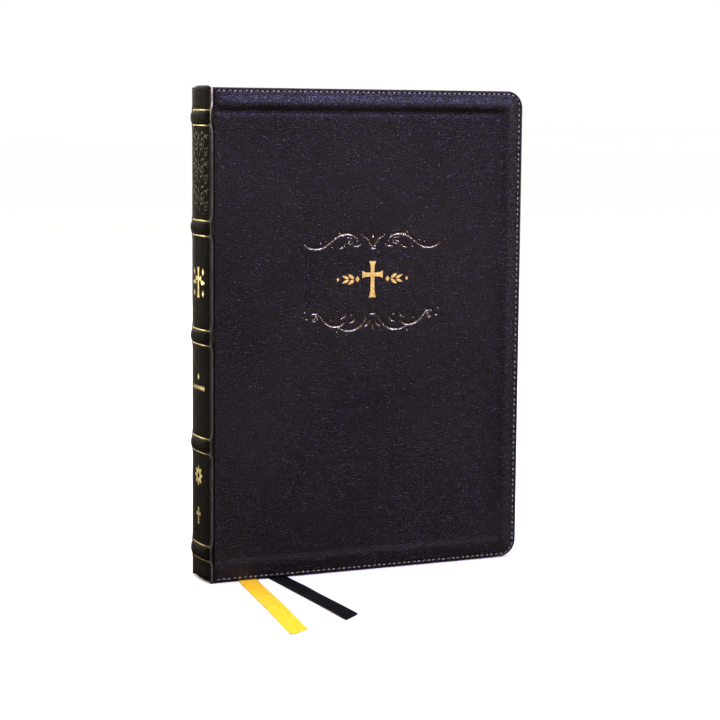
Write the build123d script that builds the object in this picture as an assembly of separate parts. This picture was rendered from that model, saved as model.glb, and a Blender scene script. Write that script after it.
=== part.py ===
"""Leather-bound bible with raised spine hubs and two ribbon markers, standing on its tail edge.

Frame: +Z up, spine towards -X, front cover towards -Y, origin at the middle of the footprint.
Most places are given as u, v and z: u runs from the front crease to the fore edge, v runs from
the front cover's outer face into the book, and z is the height. All sizes are in millimetres.
"""
from build123d import *
import math
import os

os.makedirs("parts", exist_ok=True)

# ---- driving dimensions -------------------------------------------------------------------
book_height = 240.0
cover_width = 168.7          # crease to fore edge
book_thickness = 25.4        # over both covers

# covers
leather_thickness = 0.9
board_thickness = 1.0
lining_thickness = 0.3
corner_radius = 8.5
board_margin = 9.5           # soft leather edge outside the board: head, tail and fore edge
board_hinge_margin = 5.0     # soft leather between the crease and the board
lining_margin = 0.6
cover_floor_gap = 0.05       # front cover above the ribbons that pass under it

# stitching
stitch_inset_ends = 1.2
stitch_inset_fore = 1.9
thread_width = 0.7
thread_depth = 0.25

# spine and hubs
spine_bulge = 2.3            # crown of the spine beyond the crease
spine_edge_set = 0.9         # spine leather's edge beyond the crease
spine_leather_thickness = 0.8
inlay_thickness = 0.5
inlay_margin = 3.5           # inlay's edge from the outer face of the nearer cover
spine_lining_thickness = 0.3
hub_count = 5
hub_end_distance = 14.4      # middle of the end hubs from head and tail
hub_height = 6.6             # along the spine
hub_rise = 1.2

# joints between spine and covers
joint_roll_radius = 0.7
joint_clearance = 0.35

# text block
section_count = 8            # half in front of the middle opening, half behind it
square_ends = 4.0            # covers beyond the pages at head and tail
square_fore = 5.5            # covers beyond the pages at the fore edge
page_corner_radius = 6.0
page_back_distance = 1.6     # folded edges of the pages from the crease
fold_clearance = 0.1         # folded edges from the axis they open about
leaf_thickness = 0.15
leaf_clearance = 0.12
band_height = 2.0            # head and tail bands
band_reach = 3.0             # their front from the crease
band_rounding = 0.6

# ribbon markers
ribbon_width = 9.6
ribbon_thickness = 0.2
ribbon_fold_radius = 3.0
ribbon_top_drop = 6.0        # sewn end below the head of the pages
ribbon_top_inset = 9.0       # middle of the sewn end from the crease
ribbon_turn_clearance = 0.3
black_ribbon_section = 6     # the black ribbon lies behind this section
gold_exit_u = 18.9           # middle of each ribbon where it passes under the front cover
gold_heading = 9.2           # degrees towards the spine
gold_long_edge = 109.7       # from the pivot under the cover to the tips of the slanted cut
gold_short_edge = 102.1
black_exit_u = 34.7
black_heading = 0.0
black_long_edge = 93.0
black_short_edge = 85.0

# ---- values that follow -------------------------------------------------------------------
crease_x = -(cover_width - spine_bulge - hub_rise) / 2
front_y = -book_thickness / 2
cover_thickness = leather_thickness + board_thickness + lining_thickness
cover_start = joint_roll_radius + joint_clearance
front_cover_lift = ribbon_thickness + cover_floor_gap
hub_pitch = (book_height - 2 * hub_end_distance) / (hub_count - 1)
hub_levels = [hub_end_distance + i * hub_pitch for i in range(hub_count)]

spine_v0 = 2 * joint_roll_radius + joint_clearance
spine_v1 = book_thickness - spine_v0
spine_sagitta = spine_bulge - spine_edge_set
half_chord = (spine_v1 - spine_v0) / 2
spine_radius = (half_chord**2 + spine_sagitta**2) / (2 * spine_sagitta)

page_z0 = square_ends
page_z1 = book_height - square_ends
page_u0 = page_back_distance
page_u1 = cover_width - square_fore
opening_v = book_thickness / 2
flyleaf_v = cover_thickness + leaf_clearance
block_v0 = flyleaf_v + leaf_thickness + leaf_clearance
block_v1 = book_thickness - block_v0
half_count = section_count // 2
front_half_end = opening_v - leaf_thickness / 2 - leaf_clearance
gold_ribbon_v = opening_v + leaf_thickness / 2 + leaf_clearance
rear_half_start = gold_ribbon_v + ribbon_thickness + leaf_clearance
black_gap = ribbon_thickness + 2 * leaf_clearance
front_section_thickness = (front_half_end - block_v0) / half_count
rear_section_thickness = (block_v1 - rear_half_start - black_gap) / half_count
ribbon_pivot_v = cover_thickness / 2


def slab(u0, u1, v0, v1, z0, z1):
    """Box between two corners given as u, v, z."""
    middle = (crease_x + (u0 + u1) / 2, front_y + (v0 + v1) / 2, (z0 + z1) / 2)
    return Pos(*middle) * Box(u1 - u0, v1 - v0, z1 - z0)


def plate(u0, u1, v0, v1, z0, z1, radius):
    """Slab with its two fore-edge corners rounded."""
    body = slab(u0, u1, v0, v1, z0, z1)
    corners = body.edges().filter_by(Axis.Y).group_by(Axis.X)[-1]
    return fillet(corners, radius)


def spine_layer(outer, inner, v0, v1, z0, z1):
    """Curved layer of the spine between two depths below its outer face."""
    crown_x = crease_x - spine_bulge
    discs = [Pos(crown_x + depth + spine_radius, 0) * Circle(spine_radius) for depth in (outer, inner)]
    middle_v = (v0 + v1) / 2
    window = Pos(crease_x, front_y + middle_v) * Rectangle(4 * spine_bulge + 4 * hub_rise, v1 - v0)
    section = (discs[0] - discs[1]) & window
    return Pos(0, 0, z0) * extrude(section, z1 - z0)


def thread_loop(v0, v1, z0):
    """Flat thread line that follows the three free edges of a cover."""
    outer = plate(cover_start, cover_width - stitch_inset_fore, v0, v1,
                  z0 + stitch_inset_ends, book_height - stitch_inset_ends,
                  corner_radius - stitch_inset_fore)
    inner = plate(cover_start - 1, cover_width - stitch_inset_fore - thread_width, v0 - 1, v1 + 1,
                  z0 + stitch_inset_ends + thread_width,
                  book_height - stitch_inset_ends - thread_width,
                  corner_radius - stitch_inset_fore - thread_width)
    return outer - inner


def cover(z0):
    """One cover as leather, board, lining and stitching, its outer face at v = 0."""
    board = plate(board_hinge_margin, cover_width - board_margin,
                  leather_thickness, leather_thickness + board_thickness,
                  z0 + board_margin, book_height - board_margin, corner_radius / 2)
    outer_thread = thread_loop(0, thread_depth, z0)
    inner_thread = thread_loop(cover_thickness - thread_depth, cover_thickness, z0)
    leather = plate(cover_start, cover_width, 0, leather_thickness + board_thickness,
                    z0, book_height, corner_radius)
    lining = plate(cover_start, cover_width - lining_margin,
                   leather_thickness + board_thickness, cover_thickness,
                   z0 + lining_margin, book_height - lining_margin, corner_radius - lining_margin)
    return {
        "leather": leather - board - outer_thread,
        "board": board,
        "lining": lining - inner_thread,
        "stitching": Compound([outer_thread.solid(), inner_thread.solid()]),
    }


def spine_leather(hubs):
    """Spine leather, moulded over the hubs."""
    skin = spine_layer(0, spine_leather_thickness, spine_v0, spine_v1, 0, book_height)
    for level in hub_levels:
        raised = spine_layer(-hub_rise, spine_leather_thickness / 2, spine_v0, spine_v1,
                             level - hub_height / 2, level + hub_height / 2)
        rims = raised.edges().filter_by(GeomType.CIRCLE).group_by(Axis.X)[0]
        skin += fillet(rims, hub_rise * 0.8)
    for hub in hubs:
        skin -= hub
    return skin


def hub_core(level):
    """Strip right across the spine, glued on the inlay under the leather."""
    half = hub_height / 2 - spine_leather_thickness
    return spine_layer(spine_leather_thickness - hub_rise, spine_leather_thickness,
                       spine_v0, spine_v1, level - half, level + half)


def band(z0):
    """Head or tail band, glued to the spine lining and standing over the page ends."""
    back = spine_leather_thickness + inlay_thickness + spine_lining_thickness
    v0, v1 = cover_thickness + 0.6, book_thickness - cover_thickness - 0.6
    filled = spine_layer(back, 4 * book_thickness, v0, v1, z0, z0 + band_height)
    front = slab(-spine_bulge, band_reach, v0, v1, z0, z0 + band_height)
    body = filled & front
    rims = body.edges().filter_by(Axis.Y).group_by(Axis.X)[-1]
    return fillet(rims, band_rounding)


def leaf(v0, v1):
    """Leaf or section of pages between two depths."""
    return plate(page_u0, page_u1, v0, v1, page_z0, page_z1, page_corner_radius)


def held_ribbon(v0, exit_u, heading):
    """Ribbon from its sewn end down through the pages, under the tail and forward to the cover."""
    half = ribbon_width / 2
    slope = math.tan(math.radians(heading))
    fold_z = ribbon_thickness + ribbon_fold_radius
    floor_start = v0 - ribbon_fold_radius
    floor_end = ribbon_pivot_v + half + ribbon_turn_clearance
    start_u = exit_u + slope * (floor_start - ribbon_pivot_v)
    end_u = exit_u + slope * (floor_end - ribbon_pivot_v)
    top_z = page_z1 - ribbon_top_drop
    drop = Plane.XZ * Polyline([
        (crease_x + ribbon_top_inset - half, top_z), (crease_x + ribbon_top_inset + half, top_z),
        (crease_x + start_u + half, fold_z), (crease_x + start_u - half, fold_z)], close=True)
    hanging = Pos(0, front_y + v0, 0) * extrude(make_face(drop), ribbon_thickness, dir=(0, 1, 0))
    ring = Circle(ribbon_fold_radius + ribbon_thickness) - Circle(ribbon_fold_radius)
    quarter = ring & Pos(book_thickness / 2, -book_thickness / 2) * Rectangle(book_thickness, book_thickness)
    fold = Pos(crease_x + start_u - half, front_y + floor_start, fold_z) * extrude(
        Plane.YZ * quarter, ribbon_width, dir=(1, 0, 0))
    run = Polyline([
        (crease_x + start_u - half, front_y + floor_start), (crease_x + start_u + half, front_y + floor_start),
        (crease_x + end_u + half, front_y + floor_end), (crease_x + end_u - half, front_y + floor_end)],
        close=True)
    return hanging + fold + extrude(make_face(run), ribbon_thickness, dir=(0, 0, 1))


def ribbon_tail(exit_u, heading, long_edge, short_edge):
    """Free end of a ribbon, flat on the floor in front of the book, its end cut on the slant."""
    half = ribbon_width / 2
    strip = make_face(Polyline([(-half, 0), (half, 0), (half, -short_edge), (-half, -long_edge)], close=True))
    strip = strip + Circle(half)
    place = Pos(crease_x + exit_u, front_y + ribbon_pivot_v, 0) * Rot(0, 0, -heading)
    return place * extrude(strip, ribbon_thickness, dir=(0, 0, 1))


nodes = {}

# covers
for name, half in cover(front_cover_lift).items():
    nodes["front_cover_" + name] = half
for name, half in cover(0).items():
    nodes["back_cover_" + name] = mirror(half, about=Plane.XZ)

# spine, built up from the outside
hubs = [hub_core(level) for level in hub_levels]
nodes["spine_leather"] = spine_leather(hubs)
for number, hub in enumerate(reversed(hubs), 1):
    nodes[f"spine_hub_{number}"] = hub
inlay_back = spine_leather_thickness + inlay_thickness
nodes["spine_inlay"] = spine_layer(spine_leather_thickness, inlay_back,
                                   inlay_margin, book_thickness - inlay_margin, 1, book_height - 1)
nodes["spine_lining"] = spine_layer(inlay_back, inlay_back + spine_lining_thickness,
                                    inlay_margin, book_thickness - inlay_margin, 1, book_height - 1)
nodes["head_band"] = band(page_z1 + fold_clearance)
nodes["tail_band"] = band(page_z0 - fold_clearance - band_height)
for name, roll_v in (("front", joint_roll_radius), ("back", book_thickness - joint_roll_radius)):
    low = front_cover_lift
    roll = extrude(Circle(joint_roll_radius), book_height - low)
    nodes[f"{name}_joint_leather"] = Pos(crease_x, front_y + roll_v, low) * roll

# text block, from the front
nodes["front_flyleaf"] = leaf(flyleaf_v, flyleaf_v + leaf_thickness)
for i in range(half_count):
    start = block_v0 + i * front_section_thickness
    nodes[f"page_section_{i + 1}"] = leaf(start, start + front_section_thickness)
nodes["middle_leaf"] = leaf(opening_v - leaf_thickness / 2, opening_v + leaf_thickness / 2)
start = rear_half_start
for i in range(half_count, section_count):
    nodes[f"page_section_{i + 1}"] = leaf(start, start + rear_section_thickness)
    start += rear_section_thickness
    if i + 1 == black_ribbon_section:
        black_ribbon_v = start + leaf_clearance
        start += black_gap
nodes["back_flyleaf"] = leaf(book_thickness - flyleaf_v - leaf_thickness, book_thickness - flyleaf_v)

# ribbon markers
nodes["gold_ribbon"] = held_ribbon(gold_ribbon_v, gold_exit_u, gold_heading)
nodes["gold_ribbon_tail"] = ribbon_tail(gold_exit_u, gold_heading, gold_long_edge, gold_short_edge)
nodes["black_ribbon"] = held_ribbon(black_ribbon_v, black_exit_u, black_heading)
nodes["black_ribbon_tail"] = ribbon_tail(black_exit_u, black_heading, black_long_edge, black_short_edge)

for name, solid in nodes.items():
    solid.label = name
    export_step(solid, f"parts/{name}.step")
    print(f"{name}: {solid.volume:.1f} mm3")
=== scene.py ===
import math
import random

import bmesh
import bpy
import numpy as np
from mathutils import Euler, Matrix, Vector, noise


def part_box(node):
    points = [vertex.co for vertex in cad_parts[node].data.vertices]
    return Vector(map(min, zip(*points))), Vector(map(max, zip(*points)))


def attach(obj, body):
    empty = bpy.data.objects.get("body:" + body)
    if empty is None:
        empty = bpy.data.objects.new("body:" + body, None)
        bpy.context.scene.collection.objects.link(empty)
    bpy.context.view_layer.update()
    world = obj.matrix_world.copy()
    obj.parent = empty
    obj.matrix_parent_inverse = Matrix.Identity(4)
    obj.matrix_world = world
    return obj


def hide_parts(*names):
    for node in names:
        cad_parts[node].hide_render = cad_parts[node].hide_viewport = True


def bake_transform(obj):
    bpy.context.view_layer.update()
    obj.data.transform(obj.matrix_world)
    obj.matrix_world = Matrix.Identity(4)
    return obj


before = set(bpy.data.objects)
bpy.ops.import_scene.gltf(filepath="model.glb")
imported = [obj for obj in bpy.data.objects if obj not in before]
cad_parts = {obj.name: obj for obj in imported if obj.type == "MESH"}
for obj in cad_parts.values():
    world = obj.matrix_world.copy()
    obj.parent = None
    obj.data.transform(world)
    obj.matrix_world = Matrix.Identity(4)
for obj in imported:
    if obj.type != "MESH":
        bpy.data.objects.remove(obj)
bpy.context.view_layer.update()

mm = 0.001


# where things are, read from the frame

def span(node):
    low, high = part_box(node)
    return Vector(low), Vector(high)


coverLow, coverHigh = span("front_cover_leather")
backHigh = span("back_cover_leather")[1]
rollLow, rollHigh = span("front_joint_leather")
creaseX = (rollLow.x + rollHigh.x) / 2      # the front crease, where u is 0
frontY = coverLow.y                         # outer face of the front cover, where v is 0
bookDepth = (backHigh.y - frontY) / mm      # over both covers
bookHeight = backHigh.z / mm
coverWidth = (coverHigh.x - creaseX) / mm   # crease to fore edge
coverStart = (coverLow.x - creaseX) / mm
frontLift = coverLow.z / mm                 # the ribbons pass under the front cover


# u towards the fore edge, v into the book, z up, all in mm
def place(u, v, z):
    return Vector((creaseX + u * mm, frontY + v * mm, z * mm))


def inMm(corner):
    return (corner.x - creaseX) / mm, (corner.y - frontY) / mm, corner.z / mm


# small tools

def hexColour(code, alpha=1.0):
    parts = [int(code[i:i + 2], 16) / 255 for i in (1, 3, 5)]
    return [p / 12.92 if p <= 0.04045 else ((p + 0.055) / 1.055) ** 2.4 for p in parts] + [alpha]


# adds one node, with its settings, values and links
def addNode(tree, kind, settings=None, **inputs):
    node = tree.nodes.new(kind)
    for name, value in (settings or {}).items():
        setattr(node, name, value)
    for name, value in inputs.items():
        socket = node.inputs[int(name[1:])] if name[1:].isdigit() else node.inputs[name.replace("_", " ")]
        if isinstance(value, bpy.types.NodeSocket):
            tree.links.new(value, socket)
        else:
            socket.default_value = value
    return node


def newMaterial(name, **shaderValues):
    material = bpy.data.materials.new(name)
    material.use_nodes = True
    tree = material.node_tree
    tree.nodes.clear()
    shader = addNode(tree, "ShaderNodeBsdfPrincipled", **shaderValues)
    addNode(tree, "ShaderNodeOutputMaterial", Surface=shader.outputs[0])
    return material, tree, shader


def ramp(tree, factor, stops):
    node = addNode(tree, "ShaderNodeValToRGB", Fac=factor)
    elements = node.color_ramp.elements
    while len(elements) < len(stops):
        elements.new(0.5)
    for element, (position, colour) in zip(elements, stops):
        element.position = position
        element.color = hexColour(colour) if isinstance(colour, str) else (colour, colour, colour, 1)
    return node.outputs[0]


def linked(tree, source, socket):
    tree.links.new(source, socket)


# colours a shader and gives it the relief of a pattern, its depth in mm
def coat(tree, shader, colour, height, strength, depth):
    linked(tree, colour, shader.inputs["Base Color"])
    bump = addNode(tree, "ShaderNodeBump", Strength=strength, Distance=depth * mm, Height=height)
    linked(tree, bump.outputs[0], shader.inputs["Normal"])


# turns a bmesh into a finished object at the origin
def newPiece(name, bm, materials, smooth=True):
    mesh = bpy.data.meshes.new(name)
    bm.to_mesh(mesh)
    bm.free()
    piece = bpy.data.objects.new(name, mesh)
    bpy.context.scene.collection.objects.link(piece)
    for material in materials:
        mesh.materials.append(material)
    mesh.shade_smooth() if smooth else mesh.shade_flat()
    return piece


def sharpenBy(piece, degrees):
    piece.data.set_sharp_from_angle(angle=math.radians(degrees))


def smoothStep(low, high, value):
    t = np.clip((value - low) / (high - low), 0, 1)
    return t * t * (3 - 2 * t)


# positions from each mark to the next at about the step given with it
def gradedLine(marks):
    positions = []
    for (start, step), (end, _) in zip(marks, marks[1:]):
        count = max(1, round((end - start) / step))
        positions += [start + (end - start) * i / count for i in range(count)]
    return positions + [marks[-1][0]]


# grid whose vertices stand at the given lines; gives the bmesh and its vertices' u and z
def gridOn(uLine, zLine):
    bm = bmesh.new()
    columns, rows = len(uLine) - 1, len(zLine) - 1
    bmesh.ops.create_grid(bm, x_segments=columns, y_segments=rows, size=1)
    us, zs = [], []
    for vertex in bm.verts:
        us.append(uLine[round((vertex.co.x + 1) / 2 * columns)])
        zs.append(zLine[round((vertex.co.y + 1) / 2 * rows)])
    return bm, np.array(us), np.array(zs)


# smooth line through a few points
def curveThrough(points, steps=10):
    p = np.array([points[0]] + list(points) + [points[-1]], float)
    line = []
    for i in range(1, len(p) - 2):
        for t in np.linspace(0, 1, steps, endpoint=False):
            a, b, c, d = p[i - 1], p[i], p[i + 1], p[i + 2]
            line.append(0.5 * (2 * b + (c - a) * t + (2 * a - 5 * b + 4 * c - d) * t ** 2
                               + (3 * b - a - 3 * c + d) * t ** 3))
    return np.array(line + [p[-1]])


# spiral that winds in to its centre
def curl(centre, startAngle, radius, turns, steps=26):
    t = np.linspace(0, 1, steps)
    angle = math.radians(startAngle) + t * turns * 2 * math.pi
    r = radius * (1 - 0.85 * t)
    return np.stack([centre[0] + r * np.cos(angle), centre[1] + r * np.sin(angle)], 1)


# points and half widths along every stroke of a stamped ornament
def strokeSamples(strokes, mirrorU=True, mirrorZ=False):
    rows = []
    for line, widths in strokes:
        line = np.array(line, float)
        t = np.linspace(0, 1, len(line))
        half = np.interp(t, np.linspace(0, 1, len(widths)), widths)
        part = np.column_stack([line, half])
        rows.append(part)
        if mirrorU:
            rows.append(part * [-1, 1, 1])
        if mirrorZ:
            rows.append(part * [1, -1, 1])
            if mirrorU:
                rows.append(part * [-1, -1, 1])
    return np.vstack(rows)


# how far each point is pressed in by the stamp, from 0 to 1
def stampField(us, zs, samples, soft=0.3):
    pressed = np.zeros(len(us))
    near = ((us > samples[:, 0].min() - 2) & (us < samples[:, 0].max() + 2)
            & (zs > samples[:, 1].min() - 2) & (zs < samples[:, 1].max() + 2))
    chosen = np.flatnonzero(near)
    for start in range(0, len(chosen), 3000):
        part = chosen[start:start + 3000]
        distance = np.hypot(us[part, None] - samples[None, :, 0], zs[part, None] - samples[None, :, 1])
        inside = (samples[None, :, 2] - distance).max(axis=1)
        pressed[part] = smoothStep(-soft, soft, inside)
    return pressed


# soft unevenness, about -1 to 1
def wander(us, zs, wavelength, seed):
    return np.array([noise.noise(Vector((u / wavelength, z / wavelength, seed))) for u, z in zip(us, zs)])


# camera

camera = bpy.data.objects.new("camera", bpy.data.cameras.new("camera"))
bpy.context.scene.collection.objects.link(camera)
camera.data.sensor_width = 36
camera.data.lens = 102.97
camera.data.clip_start = 0.05
camera.location = (-0.43278, -0.93431, 0.22713)
camera.rotation_euler = Euler([math.radians(a) for a in (83.233, -0.484, -24.879)])
bpy.context.scene.camera = camera
print("camera placed")


# ribbon markers: satin weave shines along its length and stays soft across it

ribbonColours = {
    "gold": {"deep": "#cf9a10", "mid": "#ecbb22", "light": "#f7d24a", "gloss": 0.35},
    "black": {"deep": "#030303", "mid": "#080707", "light": "#100f0e", "gloss": 0.15},
}
ribbonWeave = {"threadPitch": 0.55, "slubLength": 7.0}    # mm; the weft is drawn coarse enough to show


def satinMaterial(colourName):
    colours = ribbonColours[colourName]
    material, tree, shader = newMaterial(colourName + "SatinRibbon", Roughness=0.42, Anisotropic=0.6,
                                         Specular_IOR_Level=colours["gloss"])
    uv = addNode(tree, "ShaderNodeUVMap", {"uv_map": "weave"}).outputs[0]
    # uv holds mm along and across the ribbon
    across = addNode(tree, "ShaderNodeTexWave", {"wave_type": "BANDS", "bands_direction": "X"},
                     Vector=uv, Scale=0.314 / ribbonWeave["threadPitch"] / 2, Distortion=0.6, Detail=2.0)
    stretched = addNode(tree, "ShaderNodeMapping", Vector=uv,
                        Scale=(1 / ribbonWeave["slubLength"], 1.6, 1.0)).outputs[0]
    slub = addNode(tree, "ShaderNodeTexNoise", Vector=stretched, Scale=1.0, Detail=4.0)
    fine = addNode(tree, "ShaderNodeTexNoise", Vector=uv, Scale=1.3, Detail=3.0)
    blendNoise = addNode(tree, "ShaderNodeMath", {"operation": "ADD"}, _0=slub.outputs[0], _1=fine.outputs[0])
    half = addNode(tree, "ShaderNodeMath", {"operation": "MULTIPLY"}, _0=blendNoise.outputs[0], _1=0.5)
    colour = ramp(tree, half.outputs[0],
                  [(0.34, colours["deep"]), (0.5, colours["mid"]), (0.66, colours["light"])])
    total = addNode(tree, "ShaderNodeMath", {"operation": "MULTIPLY_ADD"},
                    _0=across.outputs["Fac"], _1=0.6, _2=half.outputs[0])
    coat(tree, shader, colour, total.outputs[0], 0.35, 0.12)
    return material


satin = {name: satinMaterial(name) for name in ribbonColours}

# points u, v on the floor, from under the front cover to the tip, as each ribbon lies
ribbons = {
    "gold": {"node": "gold_ribbon_tail", "cut": 7.6, "lift": 0.5, "wave": 1.4, "seed": 3.1,
             "route": [(18.9, 1.1), (15.8, -17.5), (12.6, -37.0), (9.5, -57.5), (6.3, -76.5), (1.8, -103.5)]},
    "black": {"node": "black_ribbon_tail", "cut": 8.0, "lift": 0.4, "wave": 1.2, "seed": 7.4,
              "route": [(34.7, 1.1), (34.8, -15.5), (34.8, -32.5), (34.9, -50.0), (34.8, -67.0),
                        (34.6, -87.9)]},
}
ribbonWidth = 9.6        # mm
ribbonThickness = 0.2
hiddenRun = 4.5          # mm of each tail that lies behind its pivot, under the cover


# centreline of a ribbon, read from its own smooth spline
def routeLine(points, name):
    curve = bpy.data.curves.new(name + "Route", "CURVE")
    curve.dimensions = "3D"
    curve.resolution_u = 24
    spline = curve.splines.new("NURBS")
    spline.points.add(len(points) - 1)
    for point, (u, v) in zip(spline.points, points):
        point.co = (*place(u, v, ribbonThickness / 2), 1)
    spline.order_u = 3
    spline.use_endpoint_u = True
    carrier = bpy.data.objects.new(name + "Route", curve)
    line = bpy.data.meshes.new_from_object(carrier)
    points = [v.co.copy() for v in line.vertices]
    bpy.data.objects.remove(carrier)
    return points


# point and direction at a distance along a line of points; runs on straight past the ends
def alongLine(line, distance):
    if distance <= 0:
        direction = (line[1] - line[0]).normalized()
        return line[0] + direction * distance, direction
    for a, b in zip(line, line[1:]):
        step = (b - a).length
        if distance <= step:
            return a.lerp(b, distance / step), (b - a).normalized()
        distance -= step
    direction = (line[-1] - line[-2]).normalized()
    return line[-1] + direction * distance, direction


def buildRibbonTail(name, spec):
    line = routeLine(spec["route"], name)
    length = sum((b - a).length for a, b in zip(line, line[1:])) / mm
    lengthSteps = gradedLine([(0, 0.09), (0.04, 0.012), (1, 1)])
    bm, ss, ts = gridOn(lengthSteps, [i / 10 - 1 for i in range(21)])
    weave = bm.loops.layers.uv.new("weave")
    measured = {}
    for vertex, s, t in zip(bm.verts, ss, ts):
        reach = length + spec["cut"] * t / 2                  # slanted cut at the tip
        rounding = hiddenRun * (1 - math.sqrt(max(0, 1 - t * t * 0.98)))
        distance = -hiddenRun + rounding + s * (reach + hiddenRun - rounding)
        point, direction = alongLine(line, distance * mm)
        side = Vector((-direction.y, direction.x, 0))
        free = float(smoothStep(6, 30, distance))             # flat under the cover, looser outside
        ripple = 0.5 + 0.5 * math.sin(distance / length * spec["wave"] * 2 * math.pi + spec["seed"])
        cup = 0.12 * t * t + 0.06 * noise.noise(Vector((distance / 14, t, spec["seed"])))
        height = ribbonThickness / 2 + free * (spec["lift"] * ripple * 0.6 + max(0, cup))
        vertex.co = point - side * (t * ribbonWidth / 2 * mm)
        vertex.co.z = height * mm
        measured[vertex] = (distance, t * ribbonWidth / 2)
    for face in bm.faces:
        for loop in face.loops:
            loop[weave].uv = measured[loop.vert]
    bmesh.ops.recalc_face_normals(bm, faces=bm.faces)
    bmesh.ops.solidify(bm, geom=bm.faces[:], thickness=ribbonThickness * mm)
    lowest = min(v.co.z for v in bm.verts)
    for vertex in bm.verts:
        vertex.co.z -= min(0, lowest)
    bmesh.ops.recalc_face_normals(bm, faces=bm.faces)
    piece = newPiece(name + "RibbonTail", bm, [satin[name]])
    sharpenBy(piece, 50)
    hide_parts(spec["node"])
    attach(piece, spec["node"])
    return length


for name, spec in ribbons.items():
    print(name, "ribbon tail, mm", round(buildRibbonTail(name, spec), 1))


# leather: black bonded leather, fine plated grain with a soft satin polish

leather = {"grain": 0.95, "crease": 4.5, "mottle": 60.0}     # mm


def leatherMaterial(name, dark="#080503", light="#110c09", roughness=(0.28, 0.36), gloss=0.23,
                    density=1.5, glint="#ffffff"):
    material, tree, shader = newMaterial(name, IOR=density, Specular_IOR_Level=gloss,
                                         Specular_Tint=hexColour(glint))
    spot = addNode(tree, "ShaderNodeTexCoord").outputs["Object"]
    grain = addNode(tree, "ShaderNodeTexVoronoi", {"feature": "DISTANCE_TO_EDGE"}, Vector=spot,
                    Scale=1 / (leather["grain"] * mm), Randomness=1.0)
    grainEdge = addNode(tree, "ShaderNodeMapRange", {"interpolation_type": "SMOOTHSTEP"},
                        Value=grain.outputs["Distance"], _1=0.0, _2=0.22)
    fine = addNode(tree, "ShaderNodeTexNoise", Vector=spot, Scale=2.2 / (leather["grain"] * mm), Detail=3.0)
    crease = addNode(tree, "ShaderNodeTexNoise", Vector=spot, Scale=1 / (leather["crease"] * mm), Detail=5.0,
                     Roughness=0.6)
    mottle = addNode(tree, "ShaderNodeTexNoise", Vector=spot, Scale=1 / (leather["mottle"] * mm), Detail=3.0)
    colour = ramp(tree, mottle.outputs[0], [(0.35, dark), (0.65, light)])
    pressed = addNode(tree, "ShaderNodeAttribute", {"attribute_name": "pressed"}).outputs["Fac"]
    linked(tree, colour, shader.inputs["Base Color"])
    dull = addNode(tree, "ShaderNodeMapRange", Value=crease.outputs[0], _1=0.3, _2=0.7,
                   _3=roughness[0], _4=roughness[1])
    polished = addNode(tree, "ShaderNodeMix", {"data_type": "FLOAT"}, Factor=pressed,
                       _2=dull.outputs[0], _3=min(0.3, roughness[0]))
    linked(tree, polished.outputs[0], shader.inputs["Roughness"])
    height = addNode(tree, "ShaderNodeMath", {"operation": "MULTIPLY_ADD"},
                     _0=fine.outputs[0], _1=0.45, _2=grainEdge.outputs[0])
    keep = addNode(tree, "ShaderNodeMath", {"operation": "MULTIPLY_ADD"}, _0=pressed, _1=-0.8, _2=1.0)
    quiet = addNode(tree, "ShaderNodeMath", {"operation": "MULTIPLY"},
                    _0=height.outputs[0], _1=keep.outputs[0])
    soft = addNode(tree, "ShaderNodeBump", Strength=0.4, Distance=0.0006, Height=crease.outputs[0])
    bump = addNode(tree, "ShaderNodeBump", Strength=0.6, Distance=0.0002, Height=quiet.outputs[0],
                   Normal=soft.outputs[0])
    linked(tree, bump.outputs[0], shader.inputs["Normal"])
    return material


coverLeather = leatherMaterial("blackBondedLeather")
# heat and pressure leave the stamped lines polished
stampedLeather = leatherMaterial("blindStampedLeather", dark="#0c0a0b", light="#141112",
                                 roughness=(0.16, 0.2), gloss=1.0, density=1.9, glint="#fff4c8")
# the spine is duller and browner than the covers
spineLeather = leatherMaterial("spineLeather", dark="#090705", light="#130e09",
                               roughness=(0.5, 0.6), gloss=0.05)
spineStamped = leatherMaterial("spineStampedLeather", dark="#090705", light="#130e09",
                               roughness=(0.24, 0.3), gloss=0.5)


def polishPressed(piece):
    levels = np.zeros(len(piece.data.vertices))
    piece.data.attributes["pressed"].data.foreach_get("value", levels)
    for face in piece.data.polygons:
        face.material_index = int(sum(levels[i] for i in face.vertices) / len(face.vertices) > 0.35)

# gold foil: blocked on hot, a little broken where the grain shows through
goldFoil, foilTree, foilShader = newMaterial("goldFoil", Metallic=1.0)
foilSpot = addNode(foilTree, "ShaderNodeTexCoord").outputs["Object"]
foilNoise = addNode(foilTree, "ShaderNodeTexNoise", Vector=foilSpot, Scale=1 / (1.4 * mm), Detail=4.0)
foilDull = addNode(foilTree, "ShaderNodeMapRange", Value=foilNoise.outputs[0], _3=0.42, _4=0.25)
linked(foilTree, foilDull.outputs[0], foilShader.inputs["Roughness"])
coat(foilTree, foilShader, ramp(foilTree, foilNoise.outputs[0], [(0.3, "#cbb56c"), (0.6, "#f5ecb4")]),
     foilNoise.outputs[0], 0.25, 0.05)

# waxed thread: twisted, with a grey highlight painted into its colour on each turn
threadMaterial, threadTree, threadShader = newMaterial("waxedThread", Roughness=0.38)
threadSpot = addNode(threadTree, "ShaderNodeTexCoord").outputs["Object"]
threadTwist = addNode(threadTree, "ShaderNodeTexWave", {"bands_direction": "DIAGONAL"}, Vector=threadSpot,
                      Scale=0.314 / (0.5 * mm) / 2, Distortion=1.0)
threadPaintedShine = ramp(threadTree, threadTwist.outputs["Fac"], [(0.2, "#35302c"), (0.8, "#8a8378")])
coat(threadTree, threadShader, threadPaintedShine, threadTwist.outputs["Fac"], 0.5, 0.1)
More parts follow.
